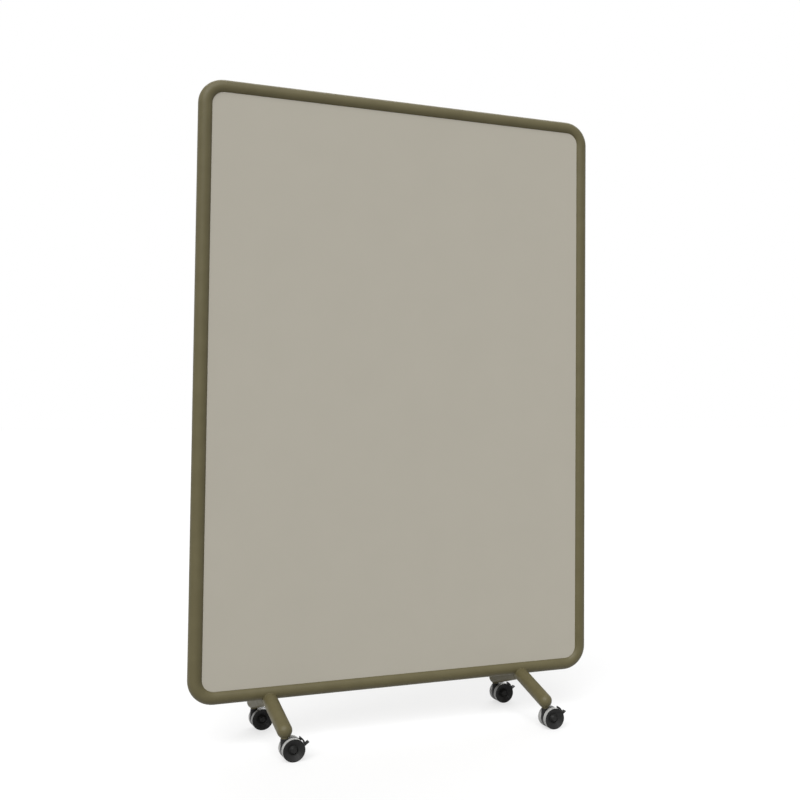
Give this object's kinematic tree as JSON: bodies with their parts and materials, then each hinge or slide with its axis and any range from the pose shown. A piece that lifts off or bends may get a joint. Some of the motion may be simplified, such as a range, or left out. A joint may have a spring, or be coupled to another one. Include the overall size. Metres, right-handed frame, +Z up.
{
  "type": "mobile pinboard",
  "caption": "Free-standing mobile pinboard: a tall two-sided pin panel in a rounded round-tube frame, on sloping tube feet with braked twin-wheel swivel castors.",
  "frame": {"origin": "on the floor, under the middle of the board", "axes": "+X along the board's width, -Y out of the front pin face, +Z up"},
  "size_m": [1.2, 0.411, 1.8342],
  "materials": {
    "frame_paint": "olive brown powder coat, fine texture, satin",
    "steel": "zinc plated",
    "black_steel": "black passivated steel",
    "board_core": "raw fibre board",
    "pin_surface": "matt warm grey cork and linseed sheet, very fine grain",
    "castor_black": "moulded nylon, satin black",
    "tread_grey": "soft light grey tread"
  },
  "bodies": {
    "frame": {"frame_upper_hoop": "frame_paint", "frame_lower_hoop": "frame_paint", "frame_lugs": "frame_paint", "frame_spigot_left": "steel", "frame_spigot_right": "steel", "frame_set_screws": "steel", "core_board": "board_core", "front_pin_sheet": "pin_surface", "rear_pin_sheet": "pin_surface", "board_screws": "steel", "foot_arm_left_front": "frame_paint", "castor_socket_left_front": "frame_paint", "castor_left_front_stem": "black_steel", "foot_arm_right_front": "frame_paint", "castor_socket_right_front": "frame_paint", "castor_right_front_stem": "black_steel", "foot_arm_left_rear": "frame_paint", "castor_socket_left_rear": "frame_paint", "castor_left_rear_stem": "black_steel", "foot_arm_right_rear": "frame_paint", "castor_socket_right_rear": "frame_paint", "castor_right_rear_stem": "black_steel"},
    "castor_left_front": {"castor_left_front_hood": "castor_black", "castor_left_front_axle": "steel", "castor_left_front_pedal_pin": "steel"},
    "wheel_left_front_near": {"castor_left_front_rim_near": "castor_black", "castor_left_front_tyre_near": "tread_grey"},
    "wheel_left_front_far": {"castor_left_front_rim_far": "castor_black", "castor_left_front_tyre_far": "tread_grey"},
    "pedal_left_front": {"castor_left_front_brake_pedal": "castor_black"},
    "castor_right_front": {"castor_right_front_hood": "castor_black", "castor_right_front_axle": "steel", "castor_right_front_pedal_pin": "steel"},
    "wheel_right_front_near": {"castor_right_front_rim_near": "castor_black", "castor_right_front_tyre_near": "tread_grey"},
    "wheel_right_front_far": {"castor_right_front_rim_far": "castor_black", "castor_right_front_tyre_far": "tread_grey"},
    "pedal_right_front": {"castor_right_front_brake_pedal": "castor_black"},
    "castor_left_rear": {"castor_left_rear_hood": "castor_black", "castor_left_rear_axle": "steel", "castor_left_rear_pedal_pin": "steel"},
    "wheel_left_rear_near": {"castor_left_rear_rim_near": "castor_black", "castor_left_rear_tyre_near": "tread_grey"},
    "wheel_left_rear_far": {"castor_left_rear_rim_far": "castor_black", "castor_left_rear_tyre_far": "tread_grey"},
    "pedal_left_rear": {"castor_left_rear_brake_pedal": "castor_black"},
    "castor_right_rear": {"castor_right_rear_hood": "castor_black", "castor_right_rear_axle": "steel", "castor_right_rear_pedal_pin": "steel"},
    "wheel_right_rear_near": {"castor_right_rear_rim_near": "castor_black", "castor_right_rear_tyre_near": "tread_grey"},
    "wheel_right_rear_far": {"castor_right_rear_rim_far": "castor_black", "castor_right_rear_tyre_far": "tread_grey"},
    "pedal_right_rear": {"castor_right_rear_brake_pedal": "castor_black"}
  },
  "joints": [
    {"name": "swivel_left_front", "type": "hinge", "parent": "frame", "child": "castor_left_front", "pos_m": [-0.38, -0.18, 0.05], "axis": [0, 0, 1], "continuous": true},
    {"name": "roll_left_front_near", "type": "hinge", "parent": "castor_left_front", "child": "wheel_left_front_near", "pos_m": [-0.36, -0.18, 0.03], "axis": [0, 1, 0], "continuous": true},
    {"name": "roll_left_front_far", "type": "hinge", "parent": "castor_left_front", "child": "wheel_left_front_far", "pos_m": [-0.36, -0.18, 0.03], "axis": [0, 1, 0], "continuous": true},
    {"name": "brake_left_front", "type": "hinge", "parent": "castor_left_front", "child": "pedal_left_front", "pos_m": [-0.34194, -0.18, 0.0487], "axis": [0, 1, 0], "range_deg": [0, 10]},
    {"name": "swivel_right_front", "type": "hinge", "parent": "frame", "child": "castor_right_front", "pos_m": [0.38, -0.18, 0.05], "axis": [0, 0, 1], "continuous": true},
    {"name": "roll_right_front_near", "type": "hinge", "parent": "castor_right_front", "child": "wheel_right_front_near", "pos_m": [0.4, -0.18, 0.03], "axis": [0, 1, 0], "continuous": true},
    {"name": "roll_right_front_far", "type": "hinge", "parent": "castor_right_front", "child": "wheel_right_front_far", "pos_m": [0.4, -0.18, 0.03], "axis": [0, 1, 0], "continuous": true},
    {"name": "brake_right_front", "type": "hinge", "parent": "castor_right_front", "child": "pedal_right_front", "pos_m": [0.41806, -0.18, 0.0487], "axis": [0, 1, 0], "range_deg": [0, 10]},
    {"name": "swivel_left_rear", "type": "hinge", "parent": "frame", "child": "castor_left_rear", "pos_m": [-0.38, 0.18, 0.05], "axis": [0, 0, 1], "continuous": true},
    {"name": "roll_left_rear_near", "type": "hinge", "parent": "castor_left_rear", "child": "wheel_left_rear_near", "pos_m": [-0.36, 0.18, 0.03], "axis": [0, 1, 0], "continuous": true},
    {"name": "roll_left_rear_far", "type": "hinge", "parent": "castor_left_rear", "child": "wheel_left_rear_far", "pos_m": [-0.36, 0.18, 0.03], "axis": [0, 1, 0], "continuous": true},
    {"name": "brake_left_rear", "type": "hinge", "parent": "castor_left_rear", "child": "pedal_left_rear", "pos_m": [-0.34194, 0.18, 0.0487], "axis": [0, 1, 0], "range_deg": [0, 10]},
    {"name": "swivel_right_rear", "type": "hinge", "parent": "frame", "child": "castor_right_rear", "pos_m": [0.38, 0.18, 0.05], "axis": [0, 0, 1], "continuous": true},
    {"name": "roll_right_rear_near", "type": "hinge", "parent": "castor_right_rear", "child": "wheel_right_rear_near", "pos_m": [0.4, 0.18, 0.03], "axis": [0, 1, 0], "continuous": true},
    {"name": "roll_right_rear_far", "type": "hinge", "parent": "castor_right_rear", "child": "wheel_right_rear_far", "pos_m": [0.4, 0.18, 0.03], "axis": [0, 1, 0], "continuous": true},
    {"name": "brake_right_rear", "type": "hinge", "parent": "castor_right_rear", "child": "pedal_right_rear", "pos_m": [0.41806, 0.18, 0.0487], "axis": [0, 1, 0], "range_deg": [0, 10]}
  ]
}
